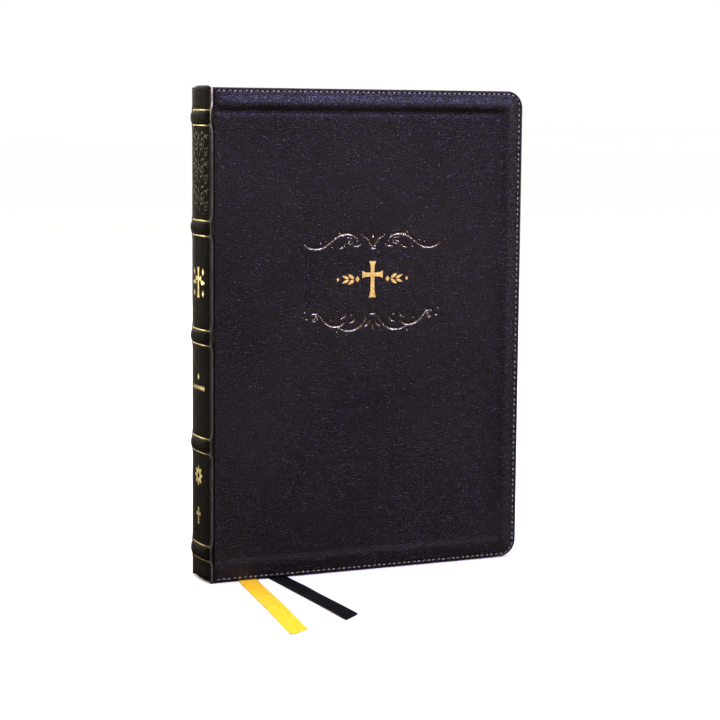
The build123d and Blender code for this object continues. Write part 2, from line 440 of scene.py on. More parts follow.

# needle hole: painted shade, a near-black pebble standing for the dark inside each hole
holeShadeMaterial, holeShadeTree, holeShadeShader = newMaterial("needleHolePaintedShade", Roughness=0.9)
holeShadeNoise = addNode(holeShadeTree, "ShaderNodeTexNoise", Scale=900.0)
linked(holeShadeTree, ramp(holeShadeTree, holeShadeNoise.outputs[0], [(0.3, "#020202"), (0.7, "#060506")]),
       holeShadeShader.inputs["Base Color"])


# covers

coverShape = {
    "cornerRadius": 8.5, "edgeRound": 1.3, "hingeRound": 0.7, "turnedDepth": 1.9,
    "stitchEnds": 1.55, "stitchFore": 2.25, "trench": 0.30, "trenchWidth": 0.5,
    "puff": 1.15, "groove": 0.55, "grooveFromEdge": 10.8, "grooveWidth": 1.9,
}
ornamentCentre = (85.0, 146.0)


def coverOrnament():
    top = [
        (curveThrough([(37.2, 18.7), (34.6, 16.9), (30.6, 16.2), (26, 17.3), (22, 20.2), (18, 22.7),
                       (13.2, 23.3), (9.4, 21.7), (8.4, 19.6)]), [0.15, 0.5, 0.62, 0.4, 0.5, 0.6, 0.45, 0.2]),
        (curveThrough([(14.2, 23.2), (17.2, 23.1), (18.9, 24.9)]), [0.3, 0.65, 0.1]),
        (curl((12.6, 19.6), 60, 2.2, 1.1), [0.3, 0.3, 0.55]),
        (curveThrough([(5.4, 21.9), (3.2, 21.2), (1.8, 18.9), (0.7, 17.2)]), [0.15, 0.5, 0.45, 0.3]),
        (curveThrough([(6.3, 18.9), (8.2, 17.5), (10.6, 17.2)]), [0.2, 0.6, 0.15]),
        (curveThrough([(15.0, 18.4), (16.6, 16.9), (18.4, 16.5)]), [0.2, 0.6, 0.15]),
        ([(0, 22.2), (0, 24.2)], [0.7, 0.15]), ([(0, 16.2), (1.5, 16.2)], [0.5, 0.3]),
        ([(21.8, 16.9), (21.8, 16.92)], [0.5, 0.5]), ([(25.6, 20.0), (25.6, 20.02)], [0.45, 0.45]),
        ([(28.4, 19.2), (28.4, 19.22)], [0.4, 0.4]), ([(6.4, 22.9), (6.4, 22.92)], [0.45, 0.45]),
    ]
    low = [
        (curveThrough([(32.8, -15.8), (30.4, -15.6), (28.2, -17.6), (25.4, -20.4), (21.4, -22.2),
                       (17.6, -21.9), (15.2, -20.4)]), [0.25, 0.5, 0.35, 0.5, 0.65, 0.5, 0.2]),
        (curveThrough([(18.6, -23.2), (14.4, -24.4), (9.6, -23.9), (6.0, -21.8), (4.0, -19.2), (3.6, -17.4)]),
         [0.2, 0.55, 0.65, 0.45, 0.35, 0.2]),
        (curl((31.6, -18.2), 100, 1.7, 1.0), [0.3, 0.3, 0.5]),
        (curveThrough([(12.4, -20.6), (10.2, -19.6), (9.0, -17.6)]), [0.15, 0.65, 0.15]),
        (curveThrough([(17.2, -18.6), (15.4, -17.4), (14.6, -15.8)]), [0.15, 0.55, 0.15]),
        ([(0, -21.6), (0, -24.2)], [0.7, 0.2]), ([(0, -16.4), (1.6, -16.4)], [0.5, 0.3]),
        (curveThrough([(1.2, -19.4), (2.6, -21.4), (4.2, -22.6)]), [0.15, 0.55, 0.15]),
        ([(36.6, -14.4), (36.6, -14.42)], [0.55, 0.55]), ([(35.6, -18.0), (35.6, -18.02)], [0.6, 0.6]),
        ([(19.2, -24.8), (19.2, -24.82)], [0.55, 0.55]), ([(11.6, -16.6), (11.6, -16.62)], [0.5, 0.5]),
        ([(22.4, -18.9), (22.4, -18.92)], [0.45, 0.45]),
    ]
    dense = [(np.linspace(line[0], line[1], 60), widths) if len(line) == 2 else (line, widths)
             for line, widths in top + low]
    return strokeSamples(dense) + [*ornamentCentre, 0]


# upright rules that close the ornament's sides, pressed too lightly to polish the leather
def coverRules():
    rules = [(np.linspace((u, -12.6), (u, 13.8), 60), [0.45, 0.45]) for u in (34.3, 36.4)]
    return strokeSamples(rules) + [*ornamentCentre, 0]


# distance inside the three free edges of a plate whose fore-edge corners are round
def roundedDistance(us, zs, foreU, lowZ, topZ, radius):
    toFore, toEnd = foreU - us, np.minimum(topZ - zs, zs - lowZ)
    cornerFore, cornerEnd = radius - toFore, radius - toEnd
    corner = (cornerFore > 0) & (cornerEnd > 0)
    inCorner = radius - np.hypot(cornerFore, cornerEnd)
    return np.where(corner, inCorner, np.minimum(toFore, toEnd))


# outward height of a cover's leather over its flat face, without the stamp
def coverSwell(us, zs, lowZ, seed):
    shape = coverShape
    edge = roundedDistance(us, zs, coverWidth, lowZ, bookHeight, shape["cornerRadius"])
    seam = roundedDistance(us, zs, coverWidth - shape["stitchFore"], lowZ + shape["stitchEnds"],
                           bookHeight - shape["stitchEnds"], shape["cornerRadius"] - shape["stitchFore"])
    trench = shape["trench"] * np.exp(-(seam / shape["trenchWidth"]) ** 2)
    topward = 0.45 + 0.55 * smoothStep(20, 14, bookHeight - zs)      # the head band is the fullest
    puff = shape["puff"] * topward * smoothStep(0.2, 7.0, seam) * (1 - smoothStep(7.0, 10.0, seam))
    puff = puff * smoothStep(0.5, 6, us - coverStart)                # flat beside the hinge
    groove = np.zeros(len(us))
    sides = ((bookHeight - zs, coverWidth - us, 1.0), (zs - lowZ, coverWidth - us, 0.12),
             (coverWidth - us, np.minimum(zs - lowZ, bookHeight - zs), 0.26))
    for distance, across, depth in sides:
        line = np.exp(-((distance - shape["grooveFromEdge"]) / shape["grooveWidth"]) ** 2)
        groove = np.maximum(groove, depth * line * smoothStep(7, 17, across))
    uneven = 0.16 * wander(us, zs, 46, seed) + 0.05 * wander(us, zs, 13, seed + 5)
    inner = smoothStep(0.5, 6, edge)
    return puff - trench - shape["groove"] * groove + uneven * inner


# draws a grid's two square fore-edge corners in to round ones
def roundCorners(us, zs, foreU, lowZ, topZ, radius):
    us, zs = us.copy(), zs.copy()
    for centreZ, sign in ((topZ - radius, 1), (lowZ + radius, -1)):
        a, b = us - (foreU - radius), (zs - centreZ) * sign
        corner = (a > 0) & (b > 0)
        reach = np.maximum(a, b) / np.hypot(a, b).clip(1e-9)
        us = np.where(corner, foreU - radius + a * reach, us)
        zs = np.where(corner, centreZ + b * reach * sign, zs)
    return us, zs


# nearest point of the board's outline to a point on the cover's edge
def outlineAt(u, z, board):
    low, high = board
    radius = coverShape["cornerRadius"] / 2
    cu = min(max(u, low[0]), high[0] - radius)
    cz = min(max(z, low[2] + radius), high[2] - radius)
    offset = Vector((u - cu, z - cz))
    if u <= low[0]:
        return low[0], min(max(z, low[2]), high[2])
    if offset.length < 1e-6:
        return u, z
    offset = offset.normalized() * radius
    return cu + offset.x, cz + offset.y


def buildCover(side):
    front = side == "front"
    lowZ = frontLift if front else 0.0
    fine = 0.36
    if front:
        uMarks = [(coverStart, 0.25), (2.0, 2.5), (46.5, fine), (123.5, 2.5), (150, 1.2), (164, 0.28),
                  (coverWidth, 1)]
        zMarks = [(lowZ, 0.28), (4, 1.2), (18, 3.0), (119.5, fine), (172.5, 2.5), (222, 1.1), (235.5, 0.28),
                  (bookHeight, 1)]
    else:
        uMarks = [(coverStart, 0.25), (2.0, 2.5), (150, 1.2), (164, 0.28), (coverWidth, 1)]
        zMarks = [(lowZ, 0.28), (4, 1.2), (18, 3.0), (222, 1.1), (235.5, 0.28), (bookHeight, 1)]
    bm, us, zs = gridOn(gradedLine(uMarks), gradedLine(zMarks))
    us, zs = roundCorners(us, zs, coverWidth, lowZ, bookHeight, coverShape["cornerRadius"])
    swell = coverSwell(us, zs, lowZ, 2.0 if front else 9.0)
    stamp = np.zeros(len(us))
    if front:
        stamp = np.maximum(stampField(us, zs, coverOrnament()), 0.34 * stampField(us, zs, coverRules()))
    edge = roundedDistance(us, zs, coverWidth, lowZ, bookHeight, coverShape["cornerRadius"])
    drop = np.zeros(len(us))
    for distance, radius in ((edge, coverShape["edgeRound"]), (us - coverStart, coverShape["hingeRound"])):
        inward = np.clip(radius - distance, 0, radius)
        drop = np.maximum(drop, radius - np.sqrt(np.clip(radius ** 2 - inward ** 2, 0, None)))
    fade = smoothStep(0, 1.2, np.minimum(edge, us - coverStart))
    vs = drop - swell * fade + 0.34 * stamp
    for vertex, u, v, z in zip(bm.verts, us, vs, zs):
        vertex.co = (u, v, z)
    pressedLayer = bm.verts.layers.float.new("pressed")
    for vertex, amount in zip(bm.verts, stamp):
        vertex[pressedLayer] = float(amount)
    board = (inMm(span(side + "_cover_board")[0]), inMm(span(side + "_cover_board")[1]))
    depth = coverShape["turnedDepth"]
    skin = depth - 1.0
    rim = [e for e in bm.edges if e.is_boundary]
    for step in ("wall", "inside", "turnIn", "pocket"):
        grown = bmesh.ops.extrude_edge_only(bm, edges=rim)["geom"]
        rim = [g for g in grown if isinstance(g, bmesh.types.BMEdge) and g.is_boundary]
        for vertex in {v for e in rim for v in e.verts}:
            u, v, z = vertex.co
            vertex[pressedLayer] = 0
            if step == "wall":
                vertex.co = (u, depth - 0.35, z)
            elif step == "inside":
                middle = Vector(((coverStart + coverWidth) / 2, (lowZ + bookHeight) / 2))
                inward = (middle - Vector((u, z))).normalized() * 0.35
                vertex.co = (u + inward.x, depth, z + inward.y)
            elif step == "turnIn":
                bu, bz = outlineAt(u, z, board)
                vertex.co = (bu, depth, bz)
            else:
                vertex.co = (u, skin, z)
    bmesh.ops.holes_fill(bm, edges=rim, sides=0)
    for vertex in bm.verts:
        u, v, z = vertex.co
        vertex.co = place(u, v if front else bookDepth - v, z)
    bmesh.ops.recalc_face_normals(bm, faces=bm.faces)
    piece = newPiece(side + "CoverSkin", bm, [coverLeather, stampedLeather])
    polishPressed(piece)
    sharpenBy(piece, 60)
    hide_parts(side + "_cover_leather")
    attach(piece, side + "_cover")


for side in ("front", "back"):
    buildCover(side)
    print(side, "cover leather done")


# stitching

stitch = {"pitch": 2.8, "length": 1.8, "width": 0.78, "height": 0.45, "slant": 9}


# even points and headings along the seam round a cover's three free edges
def seamPoints(lowZ, spacing):
    shape = coverShape
    radius = shape["cornerRadius"] - shape["stitchFore"]
    top, low = bookHeight - shape["stitchEnds"], lowZ + shape["stitchEnds"]
    fore, start = coverWidth - shape["stitchFore"], coverStart + 0.9
    straight, upright, arc = fore - radius - start, top - low - 2 * radius, radius * math.pi / 2
    total = 2 * straight + upright + 2 * arc
    count = round(total / spacing)
    for i in range(count):
        s = (i + 0.5) * total / count
        if s < straight:
            yield start + s, top, 0
        elif s < straight + arc:
            turn = (s - straight) / radius
            yield fore - radius + radius * math.sin(turn), top - radius + radius * math.cos(turn), -turn
        elif s < straight + arc + upright:
            yield fore, top - radius - (s - straight - arc), -math.pi / 2
        elif s < straight + 2 * arc + upright:
            turn = (s - straight - arc - upright) / radius
            yield (fore - radius + radius * math.cos(turn), low + radius - radius * math.sin(turn),
                   -math.pi / 2 - turn)
        else:
            yield fore - radius - (s - straight - 2 * arc - upright), low, -math.pi


# corners and faces of a small ball, for copying many times
def pebble(across, along):
    bm = bmesh.new()
    bmesh.ops.create_uvsphere(bm, u_segments=across, v_segments=along, radius=1)
    bm.verts.index_update()
    corners = [v.co.copy() for v in bm.verts]
    faces = [[v.index for v in f.verts] for f in bm.faces]
    bm.free()
    return corners, faces


def addCopy(bm, shape, move, materialIndex=0):
    corners, faces = shape
    made = [bm.verts.new(move(*corner)) for corner in corners]
    for face in faces:
        bm.faces.new([made[i] for i in face]).material_index = materialIndex


def buildStitching(side):
    front = side == "front"
    lowZ = frontLift if front else 0.0
    draw = random.Random(11)
    thread, holeShadePebble = pebble(8, 6), pebble(6, 4)
    bm = bmesh.new()
    innerFace = 2.2
    for level, outward in ((coverShape["trench"], -1), (innerFace, 1)):
        for u, z, heading in seamPoints(lowZ, stitch["pitch"]):
            lean = heading + math.radians(stitch["slant"] + draw.uniform(-2, 2))

            def threadAt(a, b, c):
                reach = abs(a)
                a *= stitch["length"] / 2
                b *= stitch["width"] / 2
                v = level + outward * (c * stitch["height"] / 2 + 0.04 - 0.12 * reach ** 3)
                x, y = a * math.cos(lean) - b * math.sin(lean), a * math.sin(lean) + b * math.cos(lean)
                return place(u + x, v if front else bookDepth - v, z + y)

            def holeShadeAt(a, b, c):
                a, b = a * 0.5 + stitch["pitch"] / 2, b * 0.5
                v = level + outward * c * 0.12
                x = a * math.cos(heading) - b * math.sin(heading)
                y = a * math.sin(heading) + b * math.cos(heading)
                return place(u + x, v if front else bookDepth - v, z + y)

            addCopy(bm, thread, threadAt)
            # a near-black pebble beside each stitch is painted shade for its needle hole
            addCopy(bm, holeShadePebble, holeShadeAt, 1)
    bmesh.ops.recalc_face_normals(bm, faces=bm.faces)
    piece = newPiece(side + "CoverStitches", bm, [threadMaterial, holeShadeMaterial])
    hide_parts(side + "_cover_stitching")
    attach(piece, side + "_cover")


for side in ("front", "back"):
    buildStitching(side)
print("stitching done")


# spine

hubBoxes = [span(f"spine_hub_{i}") for i in range(1, 6)]
hubLevels = [(low.z + high.z) / 2 / mm for low, high in hubBoxes]
spineShape = {
    "edge": 1.6, "bulge": 2.35, "fullness": 2.6, "thickness": 0.8,
    "hubRise": 1.35, "hubHalf": 3.3, "lineOffset": 3.65, "headRound": 2.2, "tailRound": 3.4, "headRise": 0.9,
    "headDraw": 1.4, "tailDraw": 1.8,
}


# blind scroll and dots for the panel under the first hub
def spineStamp():
    strokes = []
    for k in range(3):
        z = -13 + 13 * k
        strokes += [
            (curl((5.2, z + 1.5), 200, 3.6, 1.3), [0.35, 0.35, 0.55]),
            (curl((10.6, z - 3.2), 20, 2.6, 1.2), [0.3, 0.3, 0.5]),
            (curveThrough([(1.2, z - 5), (2.6, z - 1.5), (1.0, z + 3.0), (0.0, z + 6.5)]), [0.2, 0.5, 0.2]),
            (curveThrough([(7.8, z + 4.2), (10.4, z + 4.8), (12.4, z + 2.8)]), [0.2, 0.75, 0.1]),
            (curveThrough([(3.4, z + 5.2), (5.2, z + 6.6), (7.6, z + 6.2)]), [0.2, 0.6, 0.1]),
            ([(12.6, z - 0.4), (12.6, z - 0.39)], [0.55, 0.55]),
            ([(13.0, z + 5.4), (13.0, z + 5.41)], [0.5, 0.5]),
            ([(7.4, z - 6.2), (7.4, z - 6.19)], [0.5, 0.5]),
        ]
    middle = (hubLevels[0] + hubLevels[1]) / 2
    narrowed = [(np.asarray(line) * (0.76, 1), widths) for line, widths in strokes]
    return strokeSamples(narrowed) + [bookDepth / 2, middle, 0]


# how far the spine's leather stands out from the crease, without the stamp
def spineOut(vs, zs):
    shape = spineShape
    vs, zs = np.asarray(vs, float), np.asarray(zs, float)
    half = bookDepth / 2
    t = np.abs((vs - half) / (half - shape["edge"] + 0.35)).clip(0, 1)
    out = shape["bulge"] * (1 - t ** shape["fullness"]).clip(0, 1) ** (1 / 2.2)
    ends = smoothStep(0.0, 1.6, np.minimum(vs, bookDepth - vs) - shape["edge"])
    for level in hubLevels:
        s = ((zs - level) / shape["hubHalf"]).clip(-1, 1)
        foot = np.exp(-((np.abs(zs - level) - shape["hubHalf"] - 0.5) / 0.8) ** 2)
        out = out + shape["hubRise"] * (1 - s ** 2) ** 0.55 * (0.55 + 0.45 * ends) - 0.16 * foot * ends
    return out


def buildSpine():
    shape = spineShape
    top = bookHeight + shape["headRise"]
    zMarks = [(0.0, 0.3), (4.0, 1.6), (bookHeight - 3, 0.3), (top, 1)]
    for level in hubLevels:
        panelStep = 0.36 if level == hubLevels[1] else 3.0       # the stamped panel stands on the second hub
        zMarks += [(level - 5, 0.4), (level + 5, panelStep)]
    vLine = gradedLine([(shape["edge"], 0.25), (4, 0.45), (bookDepth - 4, 0.25),
                        (bookDepth - shape["edge"], 1)])
    bm, vs, zs = gridOn(vLine, gradedLine(sorted(zMarks)))
    stamp = stampField(vs, zs, spineStamp(), soft=0.28)
    out = spineOut(vs, zs)
    out += 0.05 * np.array([noise.noise(Vector((v / 8, z / 14, 3))) for v, z in zip(vs, zs)])
    cap = 0
    for toEnd, radius in ((top - zs, shape["headRound"]), (zs, shape["tailRound"])):
        inward = np.clip(radius - toEnd, 0, None)
        cap = cap + radius - np.sqrt(np.clip(radius ** 2 - inward ** 2, 0, None))
    out = np.maximum(out - 0.85 * cap, np.minimum(out, 0.1)) - 0.3 * stamp
    # both ends draw in towards the creases
    draw = (np.abs(vs - bookDepth / 2) / (bookDepth / 2 - shape["edge"])) ** 7
    zs = zs - shape["headDraw"] * draw * smoothStep(bookHeight - 6, bookHeight, zs)
    zs = zs + shape["tailDraw"] * draw * (1 - smoothStep(0, 6, zs))
    pressedLayer = bm.verts.layers.float.new("pressed")
    for vertex, v, z, x, amount in zip(bm.verts, vs, zs, out, stamp):
        vertex.co = place(-x, v, z)
        vertex[pressedLayer] = float(amount)
    bmesh.ops.recalc_face_normals(bm, faces=bm.faces)
    if sum(f.normal.x for f in bm.faces) > 0:
        bmesh.ops.reverse_faces(bm, faces=bm.faces)
    bmesh.ops.solidify(bm, geom=bm.faces[:], thickness=shape["thickness"] * mm)
    bmesh.ops.recalc_face_normals(bm, faces=bm.faces)
    piece = newPiece("spineSkin", bm, [spineLeather, spineStamped])
    polishPressed(piece)
    sharpenBy(piece, 60)
    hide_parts("spine_leather")
    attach(piece, "spine")


buildSpine()
print("spine leather done")

# raised strips that the spine leather is moulded over
boardMaterial, boardTree, boardShader = newMaterial("greyMillboard", Roughness=0.85)
boardSpot = addNode(boardTree, "ShaderNodeTexCoord").outputs["Object"]
boardFibre = addNode(boardTree, "ShaderNodeTexNoise", Vector=boardSpot, Scale=1 / (1.5 * mm), Detail=6.0)
linked(boardTree, ramp(boardTree, boardFibre.outputs[0], [(0.3, "#6f675b"), (0.7, "#9c9385")]),
       boardShader.inputs["Base Color"])


def buildHub(number, level):
    half, skin = spineShape["hubHalf"] - 0.7, spineShape["thickness"] + 0.25
    vLine = gradedLine([(spineShape["edge"] + 1.2, 0.5), (bookDepth - spineShape["edge"] - 1.2, 1)])
    bm, vs, turns = gridOn(vLine, [i / 12 for i in range(13)])
    zs = level - half * np.cos(turns * math.pi)
    top = spineOut(vs, zs) - skin
    base = spineOut(vs, np.full(len(vs), level + 9.0)) - skin - 0.1
    rise = np.maximum(top - base, 0) * np.sin(turns * math.pi) ** 0.5
    for vertex, v, z, x in zip(bm.verts, vs, zs, base + rise):
        vertex.co = place(-x, v, z)
    bmesh.ops.holes_fill(bm, edges=[e for e in bm.edges if e.is_boundary], sides=0)
    bmesh.ops.recalc_face_normals(bm, faces=bm.faces)
    piece = newPiece(f"hubStrip{number}", bm, [boardMaterial])
    sharpenBy(piece, 40)
    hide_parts(f"spine_hub_{number}")
    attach(piece, "spine")


for number, level in enumerate(hubLevels, 1):
    buildHub(number, level)
print("hubs done")


# lays flat foil shapes, drawn in mm, on the leather and gives them a foil's thickness
def foilPiece(name, bm, body, onSpine):
    lift = 0.035
    across = np.array([v.co.x for v in bm.verts])
    up = np.array([v.co.z for v in bm.verts])
    if onSpine:
        out = spineOut(across, up)
        for vertex, v, z, x in zip(bm.verts, across, up, out):
            vertex.co = place(-x - lift, v, z)
    else:
        swell = coverSwell(across, up, frontLift, 2.0)
        for vertex, u, z, h in zip(bm.verts, across, up, swell):
            vertex.co = place(u, -h - lift, z)
    grown = bmesh.ops.extrude_face_region(bm, geom=bm.faces[:], use_keep_orig=True)["geom"]
    depth = Vector((0.06 * mm, 0, 0)) if onSpine else Vector((0, 0.06 * mm, 0))
    bmesh.ops.translate(bm, vec=depth, verts=[g for g in grown if isinstance(g, bmesh.types.BMVert)])
    bmesh.ops.recalc_face_normals(bm, faces=bm.faces)
    piece = newPiece(name, bm, [goldFoil])
    sharpenBy(piece, 40)
    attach(piece, body)


# a gold line above and below each hub
def foilLines():
    width = 0.62
    for number, level in enumerate(hubLevels, 1):
        bm = bmesh.new()
        for sign in (-1, 1):
            z = level + sign * spineShape["lineOffset"]
            made = bmesh.ops.create_grid(bm, x_segments=60, y_segments=2, size=1)["verts"]
            for vertex in made:
                a, b = vertex.co.x, vertex.co.y
                v = bookDepth / 2 + a * (bookDepth / 2 - spineShape["edge"] - 0.05)
                ragged = 0.05 * noise.noise(Vector((v * 1.7, b, number + sign)))
                nearCrease = min(v, bookDepth - v) - spineShape["edge"]
                swell = 1 + 0.7 * math.exp(-(nearCrease / 0.7) ** 2)
                vertex.co = (v, 0, z + b * (width / 2 + ragged) * swell)
        foilPiece(f"goldLinesHub{number}", bm, "spine", True)


# flat filled shape from a short outline in mm, cut fine enough to follow the leather
def addShape(bm, outline):
    corners = [bm.verts.new((a, 0, b)) for a, b in outline]
    face = bm.faces.new(corners)
    face.normal_update()
    bmesh.ops.triangulate(bm, faces=[face])


def lozenge(centre, halfWidth, halfHeight):
    a, b = centre
    return [(a, b + halfHeight), (a + halfWidth, b), (a, b - halfHeight), (a - halfWidth, b)]


# plain Latin cross whose arms widen to their ends
def crossOutline(centre, armUp, armSide, armDown, waist, flare):
    a, b = centre
    quarter = []
    for angle, arm in ((90, armUp), (0, armSide), (-90, armDown), (180, armSide)):
        c, s = math.cos(math.radians(angle)), math.sin(math.radians(angle))
        for along, across in ((waist, waist), (arm * 0.72, waist * 1.15), (arm, flare),
                              (arm, -flare), (arm * 0.72, -waist * 1.15)):
            quarter.append((a + along * c - across * s, b + along * s + across * c))
    return quarter


# pointed leaf between two points
def leafOutline(start, end, width):
    (a, b), (c, d) = start, end
    length = math.hypot(c - a, d - b)
    nx, nz = (b - d) / length, (c - a) / length
    sides = []
    for sign in (1, -1):
        steps = [0.18, 0.4, 0.65, 0.85] if sign > 0 else [0.85, 0.65, 0.4, 0.18]
        for t in steps:
            w = width * math.sin(math.pi * t ** 0.8)
            sides.append((a + (c - a) * t + sign * nx * w, b + (d - b) * t + sign * nz * w))
    return [start] + sides[:4] + [end] + sides[4:]


# cross between two sprigs, in place of lettering
def coverDevice():
    bm = bmesh.new()
    a, b = ornamentCentre[0] - 0.2, ornamentCentre[1] + 0.8
    addShape(bm, crossOutline((a, b + 2.2), 6.6, 5.6, 11.4, 0.95, 1.9))
    for sign in (-1, 1):
        x = a + sign * 8.2
        addShape(bm, lozenge((x, b), 1.1, 1.6))
        addShape(bm, lozenge((x + sign * 10.6, b), 0.75, 1.1))
        for dz in (1, -1):
            addShape(bm, leafOutline((x + sign * 1.8, b + dz * 0.25), (x + sign * 5.2, b + dz * 2.6), 0.85))
            addShape(bm, leafOutline((x + sign * 4.6, b + dz * 0.25), (x + sign * 8.4, b + dz * 1.9), 0.7))
    foilPiece("coverGoldDevice", bm, "front_cover", False)


# small gold tools down the spine panels, in place of lettering
def spineDevices():
    bm = bmesh.new()
    middle = bookDepth / 2
    panels = [(hubLevels[i] + hubLevels[i + 1]) / 2 for i in range(4)]
    for side in (-1, 1):
        for dz in (-5.2, 5.2):
            addShape(bm, lozenge((middle + side * 5.7, panels[1] + dz), 1.1, 1.8))
        addShape(bm, leafOutline((middle + side * 2.8, panels[1]), (middle + side * 7.8, panels[1]), 1.1))
    addShape(bm, crossOutline((middle, panels[1] + 2), 5.4, 3.8, 9.4, 0.8, 1.5))
    for k in range(-3, 4):
        addShape(bm, lozenge((middle + k * 2.2, panels[2] + 1.5), 0.85, 1.3))
    addShape(bm, lozenge((middle, panels[2] + 6.8), 1.2, 1.7))
    for angle in range(0, 360, 45):
        c, s = math.cos(math.radians(angle)), math.sin(math.radians(angle))
        addShape(bm, leafOutline((middle + 1.1 * c, panels[3] + 11 + 1.1 * s),
                                 (middle + 5.2 * c, panels[3] + 11 + 5.2 * s), 1.05))
    addShape(bm, crossOutline((middle, panels[3] - 8), 3.2, 2.6, 5.0, 0.55, 1.1))
    for _ in range(3):
        bmesh.ops.subdivide_edges(bm, edges=[e for e in bm.edges if e.calc_length() > 1.4], cuts=1)
    bmesh.ops.triangulate(bm, faces=bm.faces)
    foilPiece("spineGoldDevices", bm, "spine", True)


foilLines()
coverDevice()
spineDevices()
print("foil done")


# fold leather: near black, with a pale cream painted highlight along the fold's crest
foldHighlightLeather, foldHighlightTree, foldHighlightShader = newMaterial("foldLeatherPaintedHighlight", Roughness=0.4, Specular_IOR_Level=0.35)
foldHighlightSpot = addNode(foldHighlightTree, "ShaderNodeTexCoord").outputs["Object"]
foldHighlightNoise = addNode(foldHighlightTree, "ShaderNodeTexNoise", Vector=foldHighlightSpot, Scale=1 / (2.2 * mm), Detail=4.0)
foldHighlightAmount = addNode(foldHighlightTree, "ShaderNodeAttribute", {"attribute_name": "paintedHighlight"}).outputs["Fac"]
foldHighlightLevel = addNode(foldHighlightTree, "ShaderNodeMapRange", Value=foldHighlightNoise.outputs[0], _1=0.3, _2=0.7, _3=0.55, _4=1.15)
foldHighlightMix = addNode(foldHighlightTree, "ShaderNodeMath", {"operation": "MULTIPLY", "use_clamp": True}, _0=foldHighlightAmount,
                 _1=foldHighlightLevel.outputs[0])
# dark leather off the painted highlight line, pale cream at its brightest
foldHighlightColour = ramp(foldHighlightTree, foldHighlightMix.outputs[0], [(0.05, "#0c0908"), (0.5, "#5a524b"), (1.0, "#d9d0c0")])
coat(foldHighlightTree, foldHighlightShader, foldHighlightColour, foldHighlightNoise.outputs[0], 0.3, 0.1)


def buildJoint(side):
    low, high = span(side + "_joint_leather")
    centreV = ((low.y + high.y) / 2 - frontY) / mm
    radius = 0.98
    levels = gradedLine([(low.z / mm, 0.6), (high.z / mm, 1)])
    bm, turns, zs = gridOn([i / 40 for i in range(41)], levels)
    paintedHighlight = bm.verts.layers.float.new("paintedHighlight")
    for vertex, turn, z in zip(bm.verts, turns, zs):
        pull = sum(math.exp(-((z - level) / 4.4) ** 4) for level in hubLevels)
        uneven = 0.06 * noise.noise(Vector((z / 9, 0, 4)))
        angle = turn * 2 * math.pi
        u = max(math.cos(angle) * radius - 0.75 * pull + uneven, -0.99)    # clear of a cover folded back
        vertex.co = place(u, centreV + math.sin(angle) * radius, z)
        # the painted highlight line sits at this angle round the fold and turns spineward at the hubs;
        # towards the head it is painted wider and brighter
        highlightCrest = math.radians(255 - 22 * pull) if side == "front" else math.radians(105 + 22 * pull)
        nearHead = float(smoothStep(205, 236, z))
        width = math.radians(15 + 13 * nearHead)
        amount = 0.42 + 0.14 * noise.noise(Vector((z / 12, 2, 1))) + 0.5 * nearHead + 0.18 * pull
        vertex[paintedHighlight] = amount * math.exp(-((angle - highlightCrest) / width) ** 2)
    bmesh.ops.remove_doubles(bm, verts=bm.verts, dist=0.001 * mm)
    bmesh.ops.holes_fill(bm, edges=[e for e in bm.edges if e.is_boundary], sides=0)
    bmesh.ops.recalc_face_normals(bm, faces=bm.faces)
    piece = newPiece(side + "JointFold", bm, [foldHighlightLeather])
    sharpenBy(piece, 60)
    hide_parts(side + "_joint_leather")
    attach(piece, "spine")


for side in ("front", "back"):
    buildJoint(side)
print("joints done")


# pages

# gilt edge: burnished gold over tightly pressed paper, fine lines along the leaves
giltEdge, giltTree, giltShader = newMaterial("giltPageEdge", Metallic=0.85)
giltSpot = addNode(giltTree, "ShaderNodeUVMap", {"uv_map": "rest"}).outputs[0]
giltLines = addNode(giltTree, "ShaderNodeTexWave", {"bands_direction": "X"}, Vector=giltSpot,
                    Scale=0.314 / 0.35 / 2, Distortion=1.5, Detail=3.0, Detail_Scale=0.3)
giltNoise = addNode(giltTree, "ShaderNodeTexNoise", Vector=giltSpot, Scale=0.12, Detail=5.0)
giltColour = ramp(giltTree, giltNoise.outputs[0], [(0.3, "#c9a455"), (0.55, "#e0c078"), (0.75, "#efd796")])
giltDull = addNode(giltTree, "ShaderNodeMapRange", Value=giltLines.outputs["Fac"], _3=0.28, _4=0.42)
linked(giltTree, giltDull.outputs[0], giltShader.inputs["Roughness"])
coat(giltTree, giltShader, giltColour, giltLines.outputs["Fac"], 0.35, 0.1)

# mm, but ink is the share of each line
printArea = {"line": 2.7, "ink": 0.42, "cell": 1.15, "gutter": 14, "fore": 11, "ends": 13, "middle": 5}


